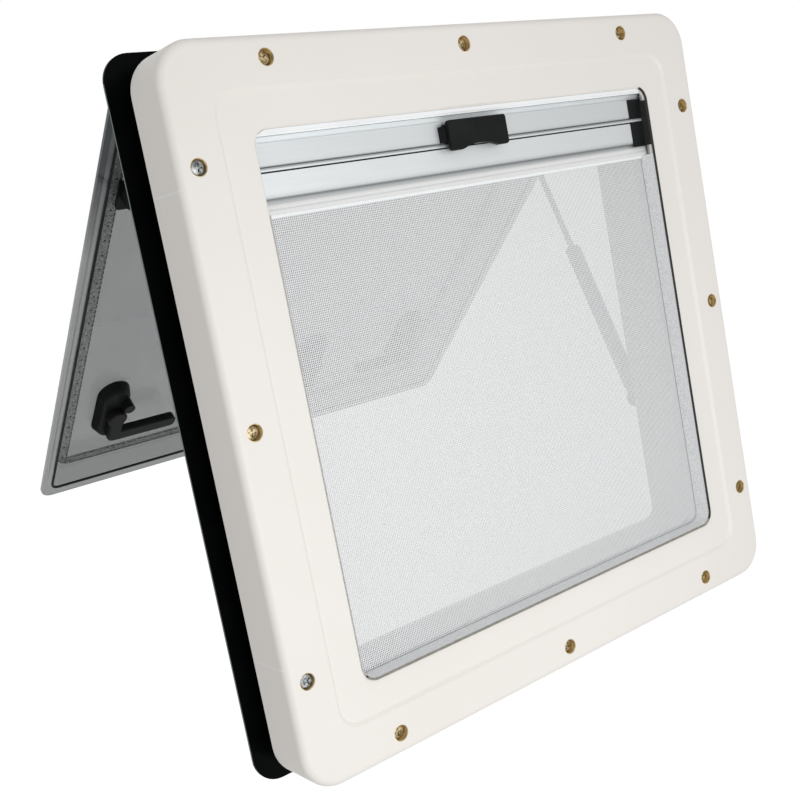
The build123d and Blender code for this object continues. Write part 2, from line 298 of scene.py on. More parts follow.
def map_range(tree, value, source, target):
    """Maps one range of numbers to another and holds it at both ends."""
    node = tree.nodes.new("ShaderNodeMapRange")
    for socket, number in zip(("From Min", "From Max", "To Min", "To Max"), (*source, *target)):
        node.inputs[socket].default_value = number
    tree.links.new(value, node.inputs["Value"])
    return node.outputs["Result"]


def spread(tree, value, low, high):
    """Maps noise about its middle to a range of one number."""
    return map_range(tree, value, (NOISE_LOW, NOISE_HIGH), (low, high))


def bump(tree, shader, value, strength, distance):
    """Tilts the shaded surface by the slope of a value."""
    node = tree.nodes.new("ShaderNodeBump")
    node.inputs["Strength"].default_value = strength
    node.inputs["Distance"].default_value = distance
    tree.links.new(value, node.inputs["Height"])
    feed(tree, shader, "Normal", node.outputs["Normal"])


def math_node(tree, operation, first, second=0.0):
    """An operation on one or two numbers or sockets."""
    node = tree.nodes.new("ShaderNodeMath")
    node.operation = operation
    for socket, value in zip(node.inputs, (first, second)):
        if isinstance(value, (int, float)):
            socket.default_value = value
        else:
            tree.links.new(value, socket)
    return node.outputs[0]


def near(tree, value, middle, half):
    """1 where a value lies within a distance of a middle, else 0."""
    off = math_node(tree, "ABSOLUTE", math_node(tree, "SUBTRACT", value, middle))
    return math_node(tree, "LESS_THAN", off, half)


def mix_color(tree, mask, base, over):
    """One colour where the mask is 0 and another where it is 1."""
    node = tree.nodes.new("ShaderNodeMix")
    node.data_type = "RGBA"
    tree.links.new(mask, node.inputs["Factor"])
    for socket, color in ((node.inputs["A"], base), (node.inputs["B"], over)):
        if isinstance(color, tuple):
            socket.default_value = (*color, 1.0)
        else:
            tree.links.new(color, socket)
    return node.outputs["Result"]


def multiply(tree, first, second):
    """The product of two colours."""
    node = tree.nodes.new("ShaderNodeMix")
    node.data_type = "RGBA"
    node.blend_type = "MULTIPLY"
    node.inputs["Factor"].default_value = 1.0
    tree.links.new(first, node.inputs["A"])
    tree.links.new(second, node.inputs["B"])
    return node.outputs["Result"]


def painted_levels(tree, height, stops):
    """Painted light levels along a height, from (height, level) stops in rising order."""
    reach = stops[-1][0]
    node = tree.nodes.new("ShaderNodeValToRGB")
    marks = node.color_ramp.elements
    while len(marks) < len(stops):
        marks.new(1.0)
    for mark, (at, level) in zip(marks, stops):
        mark.position = at / reach
        mark.color = (level, level, level, 1.0)
    tree.links.new(math_node(tree, "DIVIDE", height, reach), node.inputs["Fac"])
    return node.outputs["Color"]


def finish_surface(mat, shader, dark, light, mottle, rough, grain, strength, depth=GRAIN_DEPTH):
    """Faint mottling of the colour, an uneven gloss and a fine moulded grain."""
    tree = mat.node_tree
    spots = noise(tree, place(tree), mottle, 4.0)
    feed(tree, shader, "Base Color", ramp(tree, spots, dark, light))
    feed(tree, shader, "Roughness", spread(tree, spots, *rough))
    bump(tree, shader, noise(tree, place(tree), grain, 2.0), strength, depth)


def opening_middle():
    """Height of the middle of the frame and of its opening."""
    low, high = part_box("inner_frame")
    return (low.z + high.z) / 2


def turn_about_hinge(angle):
    """A turn about the flap's hinge line."""
    return Matrix.Translation(HINGE) @ Matrix.Rotation(angle, 4, "X") @ Matrix.Translation(-HINGE)


def closed_points(name):
    """A flap node's points, as they lie with the flap shut."""
    back = turn_about_hinge(-OPEN_ANGLE)
    return [back @ v.co for v in nodes[name].data.vertices]


def turned_shut(tree, vector):
    """A flap point's place with the flap shut."""
    turn = tree.nodes.new("ShaderNodeVectorRotate")
    turn.rotation_type = "X_AXIS"
    turn.inputs["Center"].default_value = HINGE
    turn.inputs["Angle"].default_value = -OPEN_ANGLE
    tree.links.new(vector, turn.inputs["Vector"])
    return turn.outputs[0]


def cream_pu():
    """Lacquered foam moulding with faint joint lines across its side walls."""
    mat, shader = principled("cream_pu", CREAM, 0.45, specular=0.35)
    tree = mat.node_tree
    vector = place(tree)
    spots = noise(tree, vector, 9.0, 4.0)
    base = ramp(tree, spots, CREAM_DARK, CREAM)
    at = axes(tree, vector)
    off = math_node(tree, "ABSOLUTE", math_node(tree, "SUBTRACT", at["Z"], opening_middle()))
    line = near(tree, off, MOULD_LINE_UP, MOULD_LINE_HALF)
    wall = math_node(tree, "GREATER_THAN", math_node(tree, "ABSOLUTE", at["X"]), WALL_EDGE)
    line = math_node(tree, "MULTIPLY", line, wall)
    feed(tree, shader, "Base Color", mix_color(tree, line, base, CREAM_LINE))
    feed(tree, shader, "Roughness", spread(tree, spots, 0.40, 0.52))
    bump(tree, shader, noise(tree, vector, 900.0, 2.0), 0.05, GRAIN_DEPTH)
    return mat


def white_lining():
    mat, shader = principled("white_lining", (0.52, 0.52, 0.51), 0.5, specular=0.3)
    finish_surface(
        mat, shader, dark=(0.49, 0.49, 0.48), light=(0.55, 0.55, 0.54),
        mottle=14.0, rough=(0.45, 0.55), grain=700.0, strength=0.05)
    return mat


def black_frame():
    """Deep black moulding with a painted highlight, a pale line along the flange's side edges."""
    mat, shader = principled("black_frame", (0.002, 0.0025, 0.0025), 0.24, specular=0.03)
    tree = mat.node_tree
    vector = place(tree)
    spots = noise(tree, vector, 20.0, 4.0)
    base = ramp(tree, spots, (0.0015, 0.002, 0.002), (0.003, 0.0035, 0.0035))
    at = axes(tree, vector)
    skin_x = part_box("outer_frame")[1].x - EDGE_SKIN
    edge = math_node(tree, "GREATER_THAN", math_node(tree, "ABSOLUTE", at["X"]), skin_x)
    line = math_node(tree, "MULTIPLY", edge, near(tree, at["Y"], EDGE_HIGHLIGHT_Y, EDGE_HIGHLIGHT_HALF))
    # The pale colour is a painted highlight along the flange's side edge
    feed(tree, shader, "Base Color", mix_color(tree, line, base, (0.24, 0.29, 0.31)))
    feed(tree, shader, "Roughness", spread(tree, spots, 0.18, 0.30))
    bump(tree, shader, noise(tree, vector, 160.0, 2.0), 0.04, 0.0004)
    return mat


def black_rubber():
    mat, shader = principled("black_rubber", (0.012, 0.012, 0.013), 0.7, specular=0.2)
    finish_surface(
        mat, shader, dark=(0.010, 0.010, 0.011), light=(0.016, 0.016, 0.017),
        mottle=60.0, rough=(0.6, 0.8), grain=1200.0, strength=0.2)
    return mat


def tinted_acrylic():
    """Grey see-through sheet with the haze that handling leaves, and a painted shade that darkens the rim towards
    the hinge.
    """
    mat, shader = principled("tinted_acrylic", (0.05, 0.066, 0.075), 0.06, specular=0.35)
    tree = mat.node_tree
    haze = noise(tree, place(tree, (1.0, 0.5, 0.5)), 16.0, 6.0, 0.65)
    tone = ramp(tree, haze, (0.03, 0.046, 0.054), (0.10, 0.116, 0.122), 0.35, 0.75)
    feed(tree, shader, "Base Color", tone)
    feed(tree, shader, "Roughness", spread(tree, haze, 0.04, 0.10))
    at = axes(tree, turned_shut(tree, place(tree)))
    # Painted shade: the rim turns less see-through, so darker, towards the hinge
    rim = math_node(tree, "LESS_THAN", at["Y"], RIM_BACK)
    rise = map_range(tree, at["Z"], (RIM_SHADE_FROM, RIM_SHADE_TO), (0.0, RIM_PAINTED_SHADE))
    dark = math_node(tree, "MULTIPLY", rim, rise)
    feed(tree, shader, "Alpha", math_node(tree, "ADD", dark, TINT_ALPHA))
    return mat


def clear_acrylic():
    mat, shader = principled("clear_acrylic", (0.3, 0.31, 0.31), 0.05, specular=0.3)
    tree = mat.node_tree
    haze = noise(tree, place(tree, (1.0, 0.4, 0.4)), 22.0, 6.0, 0.65)
    feed(tree, shader, "Base Color", ramp(tree, haze, (0.20, 0.21, 0.21), (0.6, 0.61, 0.61), 0.4, 0.8))
    shader.inputs["Alpha"].default_value = CLEAR_ALPHA
    return mat


def bond():
    """Grainy glue line: pale, speckled, with a row of dots and a broken inner border."""
    mat, shader = principled("bond", (0.3, 0.31, 0.31), 0.6)
    tree = mat.node_tree
    vector = place(tree)
    at = axes(tree, turned_shut(tree, vector))
    points = closed_points("bond_strip")
    half = BOND_WIDTH / 2
    side = max(p.x for p in points) - half
    foot = min(p.z for p in points) + half
    head = max(p.z for p in points) - half
    # Each run: distance off its middle line, counted towards the pane, and place along it
    runs = [
        (math_node(tree, "SUBTRACT", side, math_node(tree, "ABSOLUTE", at["X"])), at["Z"]),
        (math_node(tree, "SUBTRACT", at["Z"], foot), at["X"]),
        (math_node(tree, "SUBTRACT", head, at["Z"]), at["X"]),
    ]
    mask = 0.0
    for off, along in runs:
        step = math_node(tree, "PINGPONG", along, DOT_PITCH / 2)
        squares = [math_node(tree, "POWER", value, 2.0) for value in (off, step)]
        dot = math_node(tree, "LESS_THAN", math_node(tree, "ADD", *squares), DOT_R ** 2)
        border = near(tree, off, DASH_INSET, DASH_WIDTH / 2)
        step = math_node(tree, "PINGPONG", along, DASH_PITCH / 2)
        dash = math_node(tree, "MULTIPLY", border, math_node(tree, "LESS_THAN", step, DASH_LENGTH / 2))
        mask = math_node(tree, "MAXIMUM", mask, math_node(tree, "MAXIMUM", dot, dash))
    grain = noise(tree, vector, 520.0, 6.0, 0.7)
    speckle = ramp(tree, grain, (0.14, 0.15, 0.15), (0.60, 0.62, 0.62), 0.40, 0.62)
    feed(tree, shader, "Base Color", mix_color(tree, mask, speckle, (0.03, 0.032, 0.033)))
    bump(tree, shader, grain, 0.8, 0.001)
    return mat


def drawn_metal(name, color, dark, light):
    """Satin anodised section with fine draw lines along it: material, shader and the colour to feed it."""
    mat, shader = principled(name, color, 0.4, metallic=0.35, specular=0.4)
    tree = mat.node_tree
    lines = noise(tree, place(tree, DRAWN), 1400.0, 3.0)
    feed(tree, shader, "Roughness", spread(tree, lines, 0.34, 0.46))
    bump(tree, shader, lines, 0.03, 0.0001)
    return mat, shader, ramp(tree, lines, dark, light)


def bare_aluminium():
    mat, shader, tone = drawn_metal(
        "bare_aluminium", (0.74, 0.77, 0.78), (0.695, 0.725, 0.735), (0.72, 0.75, 0.76))
    feed(mat.node_tree, shader, "Base Color", tone)
    return mat


def bar_aluminium(name, stops):
    """A bar's drawn metal, with painted shade in its hollows and below its eased edges, and a painted reflection
    that is paler towards the left.
    """
    mat, shader, tone = drawn_metal(
        name + "_aluminium", (0.93, 0.97, 0.982), (0.914, 0.953, 0.965), (0.946, 0.985, 0.998))
    tree = mat.node_tree
    at = axes(tree, place(tree))
    low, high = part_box(name)
    # Painted shade and highlight over the section, by height
    tone = multiply(tree, tone, painted_levels(tree, math_node(tree, "SUBTRACT", at["Z"], low.z), stops))
    # Painted reflection: paler at the left end, darker at the right
    level = map_range(tree, at["X"], (low.x, high.x), (BAR_LEFT_PAINTED_LEVEL, BAR_RIGHT_PAINTED_LEVEL))
    feed(tree, shader, "Base Color", multiply(tree, tone, level))
    return mat


def white_plastic():
    mat, shader = principled("white_plastic", (0.90, 0.92, 0.925), 0.4, specular=0.4)
    finish_surface(
        mat, shader, dark=(0.88, 0.90, 0.905), light=(0.92, 0.94, 0.945),
        mottle=25.0, rough=(0.34, 0.46), grain=1000.0, strength=0.04)
    return mat


def clamp_strip():
    """Pale strip with the mesh's grain, with painted shade under the bar and a painted highlight along a fold line
    just above its middle.
    """
    mat, shader = principled("clamp_strip", (0.80, 0.81, 0.80), 0.45, specular=0.35)
    tree = mat.node_tree
    vector = place(tree)
    tone = ramp(tree, noise(tree, vector, 900.0, 3.0), (0.76, 0.77, 0.76), (0.86, 0.87, 0.86))
    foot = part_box("screen_clamp_strip")[0].z
    height = math_node(tree, "SUBTRACT", axes(tree, vector)["Z"], foot)
    # Painted shade under the bar and a painted highlight along the fold, by height
    feed(tree, shader, "Base Color", multiply(tree, tone, painted_levels(tree, height, CLAMP_PAINTED_SHADES)))
    feed(tree, shader, "Roughness", spread(tree, noise(tree, vector, 40.0, 3.0), 0.4, 0.5))
    return mat


def grey_plastic():
    mat, shader = principled("grey_plastic", (0.50, 0.50, 0.49), 0.5, specular=0.3)
    finish_surface(
        mat, shader, dark=(0.47, 0.47, 0.46), light=(0.53, 0.53, 0.52),
        mottle=30.0, rough=(0.45, 0.6), grain=1200.0, strength=0.05)
    return mat


def black_plastic():
    mat, shader = principled("black_plastic", (0.010, 0.011, 0.011), 0.45, specular=0.07)
    finish_surface(
        mat, shader, dark=(0.007, 0.008, 0.008), light=(0.013, 0.014, 0.014),
        mottle=40.0, rough=(0.38, 0.5), grain=1600.0, strength=0.08)
    return mat


def strut_tube():
    mat, shader = principled("strut_tube", (0.30, 0.31, 0.315), 0.35, metallic=0.2)
    finish_surface(
        mat, shader, dark=(0.27, 0.28, 0.285), light=(0.33, 0.34, 0.345),
        mottle=30.0, rough=(0.3, 0.4), grain=900.0, strength=0.04, depth=0.0001)
    return mat


def strut_rod():
    mat, shader = principled("strut_rod", (0.55, 0.56, 0.56), 0.22, metallic=0.8)
    tree = mat.node_tree
    feed(tree, shader, "Roughness", spread(tree, noise(tree, place(tree), 800.0, 2.0), 0.18, 0.28))
    return mat


def screen_mesh():
    mat, shader = principled("screen_mesh", (0.755, 0.765, 0.77), 0.6, specular=0.3)
    tree = mat.node_tree
    spots = noise(tree, place(tree), 1200.0, 2.0)
    feed(tree, shader, "Base Color", ramp(tree, spots, (0.725, 0.735, 0.74), (0.785, 0.795, 0.80)))
    return mat


def screen_border():
    """The woven edging that carries the mesh's grey up to the opening's edge."""
    mat, shader = principled("screen_border", (0.82, 0.83, 0.835), 0.6, specular=0.3)
    tree = mat.node_tree
    spots = noise(tree, place(tree), 900.0, 2.0)
    tone = ramp(tree, spots, (0.71, 0.72, 0.725), (0.92, 0.93, 0.935), 0.35, 0.65)
    feed(tree, shader, "Base Color", tone)
    return mat


def gap_shadow_look():
    """Painted shadow of the gap round the opening: dark, and paler where it lies along the opening's foot."""
    mat, shader = principled("gap_shadow_look", GAP_SHADOW_DARK, 0.7, specular=0.2)
    tree = mat.node_tree
    vector = place(tree)
    pale_foot = ramp(tree, noise(tree, vector, 300.0, 3.0), (0.24, 0.23, 0.20), (0.34, 0.33, 0.30))
    # Painted shadow, less deep along the opening's foot
    pale_foot_top = opening_middle() - OPENING_HALF + GAP_SHADOW_FOOT_H
    side = math_node(tree, "GREATER_THAN", axes(tree, vector)["Z"], pale_foot_top)
    feed(tree, shader, "Base Color", mix_color(tree, side, pale_foot, GAP_SHADOW_DARK))
    return mat


def plated(name, dark, light, metallic):
    """Metal of screws and liners, with uneven colour and gloss."""
    mat, shader = principled(name, light, 0.35, metallic=metallic)
    tree = mat.node_tree
    tone = noise(tree, place(tree), 320.0, 4.0)
    feed(tree, shader, "Base Color", ramp(tree, tone, dark, light, 0.35, 0.65))
    feed(tree, shader, "Roughness", spread(tree, tone, 0.28, 0.45))
    return mat


def bar(mesh, low, high):
    """Adds a closed block between two corners."""
    low, high = Vector(low), Vector(high)
    size = high - low
    spot = Matrix.Translation((low + high) / 2) @ Matrix.Diagonal((*size, 1.0))
    bmesh.ops.create_cube(mesh, size=1.0, matrix=spot)


def link(name, mesh, material):
    """Makes a mesh into an object of the scene."""
    data = bpy.data.meshes.new(name)
    bmesh.ops.recalc_face_normals(mesh, faces=mesh.faces)
    mesh.to_mesh(data)
    mesh.free()
    data.materials.append(material)
    obj = bpy.data.objects.new(name, data)
    bpy.context.scene.collection.objects.link(obj)
    return obj


def add(name, mesh, material, body="frame"):
    """Makes a mesh into a piece that rides a body, with the finish it is given."""
    obj = link(name, mesh, material)
    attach(obj, body)
    return obj


def lathe(mesh, profile):
    """Turns (radius, height) points about Y; heights run along -Y. Closed where it meets the axis."""
    rings = []
    for r, h in profile:
        if r == 0:
            rings.append([mesh.verts.new((0, -h, 0))])
        else:
            turns = [2 * math.pi * i / TURNED_SIDES for i in range(TURNED_SIDES)]
            rings.append([mesh.verts.new((r * math.cos(a), -h, r * math.sin(a))) for a in turns])
    for low, high in zip(rings, rings[1:]):
        for i in range(TURNED_SIDES):
            j = (i + 1) % TURNED_SIDES
            if len(low) == 1:
                mesh.faces.new((low[0], high[i], high[j]))
            elif len(high) == 1:
                mesh.faces.new((low[i], low[j], high[0]))
            else:
                mesh.faces.new((low[i], low[j], high[j], high[i]))


def prism(mesh, profile, x0, x1):
    """Adds a closed run of a (y, z) outline along X."""
    rings = [[mesh.verts.new((x, y, z)) for y, z in profile] for x in (x0, x1)]
    for i in range(len(profile)):
        j = (i + 1) % len(profile)
        mesh.faces.new((rings[0][i], rings[0][j], rings[1][j], rings[1][i]))
    mesh.faces.new(list(reversed(rings[0])))
    mesh.faces.new(rings[1])


def skin(mesh, paths, closed):
    """Joins each (x, y, z) path to the next and the last to the first, and caps the ends of open ones."""
    rings = [[mesh.verts.new(point) for point in path] for path in paths]
    for ring, after in zip(rings, rings[1:] + rings[:1]):
        for i in range(len(ring) if closed else len(ring) - 1):
            j = (i + 1) % len(ring)
            mesh.faces.new((ring[i], ring[j], after[j], after[i]))
    if not closed:
        mesh.faces.new([ring[0] for ring in rings])
        mesh.faces.new([ring[-1] for ring in reversed(rings)])


def quarter(x, z, radius, start):
    """(x, z) points of a quarter turn about a middle, from an angle in degrees."""
    turns = [math.radians(start + 90 * step / CORNER_STEPS) for step in range(CORNER_STEPS + 1)]
    return [(x + radius * math.cos(a), z + radius * math.sin(a)) for a in turns]


def screw_mesh(material):
    """A pan head with a cross recess and a plain shank, its seat at y 0."""
    r, h = SCREW_HEAD_R, SCREW_HEAD_H
    profile = [
        (0, -SCREW_LENGTH),
        (SCREW_POINT_R, -SCREW_LENGTH + SCREW_POINT_H),
        (SCREW_SHANK_R, -SCREW_LENGTH + SCREW_TAPER_H),
        (SCREW_SHANK_R, 0),
        (r, 0),
        (r, SCREW_RIM_H),
    ]
    for step in range(1, SCREW_DOME_STEPS):
        a = math.pi / 2 * step / SCREW_DOME_STEPS
        rise = (h - SCREW_RIM_H) * math.sin(a)
        profile.append((r * math.cos(a) ** SCREW_DOME_POWER, SCREW_RIM_H + rise))
    profile.append((0, h))
    head = bmesh.new()
    lathe(head, profile)
    body = link("screw_template", head, material)
    cut = bmesh.new()
    for w, l in ((SCREW_SLOT_W, SCREW_SLOT_L), (SCREW_SLOT_L, SCREW_SLOT_W)):
        spot = Matrix.Translation((0, -h, 0)) @ Matrix.Diagonal((w, 2 * SCREW_SLOT_DEEP, l, 1))
        bmesh.ops.create_cube(cut, size=1.0, matrix=spot)
    cutter = link("screw_cut", cut, material)
    carve = body.modifiers.new("recess", "BOOLEAN")
    carve.object = cutter
    carve.operation = "DIFFERENCE"
    carve.solver = "EXACT"
    carve.use_self = True
    graph = bpy.context.evaluated_depsgraph_get()
    made = bpy.data.meshes.new_from_object(body.evaluated_get(graph))
    bpy.data.objects.remove(body)
    bpy.data.objects.remove(cutter)
    return made


def liner_mesh(material):
    """The sleeve that lines a screw hole, open at its mouth."""
    inner = LINER_R - LINER_WALL
    profile = [(LINER_R, LINER_SEAT), (LINER_R, LINER_RISE), (inner, LINER_RISE), (inner, LINER_SEAT)]
    sleeve = bmesh.new()
    lathe(sleeve, profile + profile[:1])
    bmesh.ops.remove_doubles(sleeve, verts=sleeve.verts, dist=MERGE_REACH)
    obj = link("liner_template", sleeve, material)
    made = obj.data
    bpy.data.objects.remove(obj)
    return made


def screw_places():
    """The hole floors, at the places that the mounts state."""
    places = []
    for mount in record["mounts"]:
        if mount["kind"] != "bolt_pattern":
            continue
        x, y, z = mount["pos_m"]
        dx = mount["dims"].get("spacing_x_mm", 0.0) * MM / 2
        dz = mount["dims"].get("spacing_y_mm", 0.0) * MM / 2
        for sx in ((-1, 1) if dx else (0,)):
            for sz in ((-1, 1) if dz else (0,)):
                places.append((x + sx * dx, y, z + sz * dz))
    return places


def make_screws(head_look, bare_look, liner_look):
    """A screw and a liner in each hole; those at the ends of the left row stand higher and are bare steel."""
    head = screw_mesh(head_look)
    bare_head = screw_mesh(bare_look)
    liner = liner_mesh(liner_look)
    places = screw_places()
    left = min(spot[0] for spot in places)
    middle = sum(spot[2] for spot in places) / len(places)
    for i, (x, y, z) in enumerate(places):
        bare = x == left and abs(z - middle) > SCREW_HEAD_R
        rise = BARE_SCREW_RISE if bare else SCREW_RISE
        turn = Matrix.Rotation(SCREW_TURN * i, 4, "Y")
        for name, data, lift in (("screw", bare_head if bare else head, rise), ("screw_liner", liner, 0.0)):
            obj = bpy.data.objects.new("%s_%02d" % (name, i + 1), data)
            obj.matrix_world = Matrix.Translation((x, y - lift, z)) @ turn
            bpy.context.scene.collection.objects.link(obj)
            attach(obj, "frame")


def threads(low, high):
    """Middles of evenly pitched threads between two borders."""
    count = int((high - low - THREAD_W) / THREAD_PITCH)
    start = (low + high - count * THREAD_PITCH) / 2
    return [start + i * THREAD_PITCH for i in range(count + 1)]


def make_flyscreen(material):
    """Flat threads laid across one another over the sheet's own place."""
    low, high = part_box("flyscreen")
    y = (low.y + high.y) / 2
    half = THREAD_W / 2
    mesh = bmesh.new()
    for x in threads(low.x, high.x):
        bar(mesh, (x - half, y - THREAD_T, low.z), (x + half, y, high.z))
    for z in threads(low.z, high.z):
        bar(mesh, (low.x, y, z - half), (high.x, y + THREAD_T, z + half))
    obj = add("flyscreen_weave", mesh, material)
    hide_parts("flyscreen")


def rounded_loop(right, foot, head, radius):
    """(x, z) points of a rounded rectangle, symmetrical about x 0."""
    x = right - radius
    high = head - radius
    low = foot + radius
    corners = ((x, high, 0), (-x, high, 90), (-x, low, 180), (x, low, 270))
    loop = []
    for middle_x, middle_z, start in corners:
        loop += quarter(middle_x, middle_z, radius, start)
    return loop


def make_seam(material):
    """The dark line round the tray, where its wall leaves the rim."""
    points = closed_points("outer_pane")
    right = max(p.x for p in points) - SEAM_INSET
    foot = min(p.z for p in points) + SEAM_INSET
    head = max(p.z for p in points) - SEAM_INSET
    w = SEAM_WIDTH
    outside = rounded_loop(right, foot, head, SEAM_R)
    inside = rounded_loop(right - w, foot + w, head - w, SEAM_R - w)
    front, rear = SEAM_FRONT, SEAM_FRONT + SEAM_DEPTH
    section = ((outside, front), (outside, rear), (inside, rear), (inside, front))
    mesh = bmesh.new()
    skin(mesh, [[(x, y, z) for x, z in loop] for loop, y in section], closed=True)
    bmesh.ops.transform(mesh, matrix=turn_about_hinge(OPEN_ANGLE), verts=mesh.verts)
    add("flap_seam", mesh, material, body="flap")


def eased(y, z):
    """Points of the rounded lower edge of a bar's face, whose sharp corner is at (y, z)."""
    turns = [math.pi / 2 * step / EDGE_STEPS for step in range(EDGE_STEPS + 1)]
    return [(y + BAR_EDGE_R * (1 - math.sin(a)), z + BAR_EDGE_R * (1 - math.cos(a))) for a in turns]


def blind_outline(low, high):
    """The blind bar's (y, z) outline between two corners."""
    return eased(low.y, low.z) + [(low.y, high.z), (high.y, high.z), (high.y, low.z)]


def screen_outline(low, high):
    """The screen bar's (y, z) outline between two corners, grooved above and below its face."""
    sunk = low.y + GROOVE_DEPTH
    face_low = low.z + GROOVE_LOW_H
    face_high = high.z - GROOVE_UP_H
    outline = [(high.y, low.z), (sunk, low.z), (sunk, face_low)] + eased(low.y, face_low)
    return outline + [(low.y, face_high), (sunk, face_high), (sunk, high.z), (high.y, high.z)]


def make_left_ends(bar_looks, cap_look):
    """On the left the bars' faces run on behind the frame, and their caps are short."""
    for name, outline in (("blind_bar", blind_outline), ("screen_bar", screen_outline)):
        low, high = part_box(name + "_cap_left")
        run = bmesh.new()
        prism(run, outline(low, high), LEFT_CAP_END, high.x)
        add(name + "_end_left", run, bar_looks[name])
        cap = bmesh.new()
        bar(cap, low, (LEFT_CAP_END, high.y, high.z))
        obj = add(name + "_short_cap_left", cap, cap_look)
        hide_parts(name + "_cap_left")


def make_groove_shadow_strip(material, bar_look):
    """A black strip sunk in the groove above the screen bar's face as painted shadow, and the ledge that carries
    it.
    """
    low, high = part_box("screen_bar")
    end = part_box("screen_bar_cap_right")[0].x
    upper = high.z - BAR_FLANGE_H
    rear = low.y + GROOVE_DEPTH
    strip = bmesh.new()
    # Painted shadow: a black strip where the groove has only shade
    bar(strip, (LEFT_CAP_END, low.y + SHADOW_STRIP_SUNK, upper - SHADOW_STRIP_H), (end, rear, upper - GROOVE_PLAY))
    add("screen_bar_shadow_strip", strip, material)
    ledge = bmesh.new()
    bar(ledge, (LEFT_CAP_END, low.y, upper - GROOVE_UP_H), (end, rear, upper - SHADOW_STRIP_H))
    add("screen_bar_ledge", ledge, bar_look)


def make_bead(material):
    """The white bead that edges the mesh below its clamp strip."""
    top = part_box("screen_clamp_strip")[0].z
    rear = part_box("flyscreen")[0].y - THREAD_T / 2
    mesh = bmesh.new()
    bar(mesh, (-BEAD_REACH, rear - BEAD_T, top - BEAD_H), (BEAD_REACH, rear, top))
    add("flyscreen_bead", mesh, material)


def make_valance_trim(material):
    """The white edge that hangs below the blind cassette, behind the frame's face."""
    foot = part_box("blind_cassette")[0].z
    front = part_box("side_guide_right")[0].y
    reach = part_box("reveal_lining")[1].x
    mesh = bmesh.new()
    bar(mesh, (-reach, front, foot - TRIM_DROP), (reach, front + TRIM_T, foot))
    add("blind_valance_trim", mesh, material)


def opening_path(inset, top):
    """(x, z) points inside the opening's edge: left side, foot, right side and upper right corner."""
    radius = OPENING_R - inset
    x = OPENING_HALF - OPENING_R
    low = opening_middle() - x
    path = [(-OPENING_HALF + inset, top)]
    return path + quarter(-x, low, radius, 180) + quarter(x, low, radius, 270) + quarter(x, top, radius, 0)


def make_border_lip(material):
    """The woven edging that slopes from the opening's wall to the mesh."""
    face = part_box("inner_frame")[0].y
    front, rear = face + LIP_FRONT, face + LIP_REAR
    section = ((SEAT_PLAY, front), (LIP_REACH, rear), (LIP_REACH, rear + LIP_T), (SEAT_PLAY, front + LIP_T))
    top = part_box("screen_clamp_strip")[0].z
    paths = [[(x, y, z) for x, z in opening_path(inset, top)[:-CORNER_STEPS]] for inset, y in section]
    mesh = bmesh.new()
    skin(mesh, paths, closed=False)
    add("screen_border_lip", mesh, material)


def make_opening_gap_shadow(material):
    """Painted shadow gap: a dark strip on the opening's bevel, and a dark wall beside the bars' right caps that is
    painted shadow too.
    """
    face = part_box("inner_frame")[0].y
    front, rear = face + GAP_SHADOW_FRONT, face + OPENING_CHAMFER
    edge = SEAT_PLAY + GAP_SHADOW_FRONT - OPENING_CHAMFER
    section = ((edge, front), (SEAT_PLAY, rear), (SEAT_PLAY + GAP_SHADOW_T, rear), (edge + GAP_SHADOW_T, front))
    top = opening_middle() + OPENING_HALF - OPENING_R
    paths = [[(x, y, z) for x, z in opening_path(inset, top)[GAP_SHADOW_FIRST:GAP_SHADOW_LAST]] for inset, y in section]
    mesh = bmesh.new()
    skin(mesh, paths, closed=False)
    # The dark wall beside the caps is painted shadow
    wall = OPENING_HALF - SEAT_PLAY
    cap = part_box("screen_bar_cap_right")[0]
    bar(mesh, (wall - GAP_SHADOW_T, rear, cap.z), (wall, cap.y - CAP_LIP_T - SEAT_PLAY, top))
    add("opening_gap_shadow", mesh, material)


def make_cap_lips(material):
    """The right end caps' lips, which lap over the ends of the bars' faces."""
    for name in ("blind_bar", "screen_bar"):
        low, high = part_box(name + "_cap_right")
        mesh = bmesh.new()
        bar(mesh, (low.x - CAP_LIP, low.y - CAP_LIP_T, low.z), (high.x, low.y, high.z))
        add(name + "_cap_lip_right", mesh, material)


def make_clip_shoe(material):
    """The wider shoe of the clip, between its plate and the bar."""
    low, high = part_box("bar_clip")
    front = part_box("blind_bar")[0]
    foot = (low.x - SHOE_REACH, front.y - SHOE_T, front.z + SHOE_LOW)
    head = (high.x + SHOE_REACH, front.y, high.z - SHOE_TOP)
    mesh = bmesh.new()
    bar(mesh, foot, head)
    edges = [e for e in mesh.edges if all(v.co.y < front.y - SHOE_T / 2 for v in e.verts)]
    bmesh.ops.bevel(mesh, geom=edges, offset=SHOE_EDGE, segments=SHOE_EDGE_STEPS, affect="EDGES")
    add("bar_clip_shoe", mesh, material)


def dress_nodes(looks):
    """Gives each node the look of its slot in the record."""
    slots = {s["node"]: s["material_slot"] for s in record["subparts"]}
    for name, obj in nodes.items():
        obj.data.materials.clear()
        obj.data.materials.append(looks[slots[name]])


def make_camera():
    """The photograph's viewpoint."""
    data = bpy.data.cameras.new("camera")
    data.sensor_fit = "HORIZONTAL"
    data.angle = CAMERA_FOV
    data.clip_end = CAMERA_REACH
    obj = bpy.data.objects.new("camera", data)
    forward = Vector(CAMERA_FORWARD).normalized()
    right = forward.cross(Vector(CAMERA_UP)).normalized()
    up = right.cross(forward)
    turn = Matrix((right, up, -forward)).transposed().to_4x4()
    obj.matrix_world = Matrix.Translation(CAMERA_POS) @ turn
    bpy.context.scene.collection.objects.link(obj)
    bpy.context.scene.camera = obj


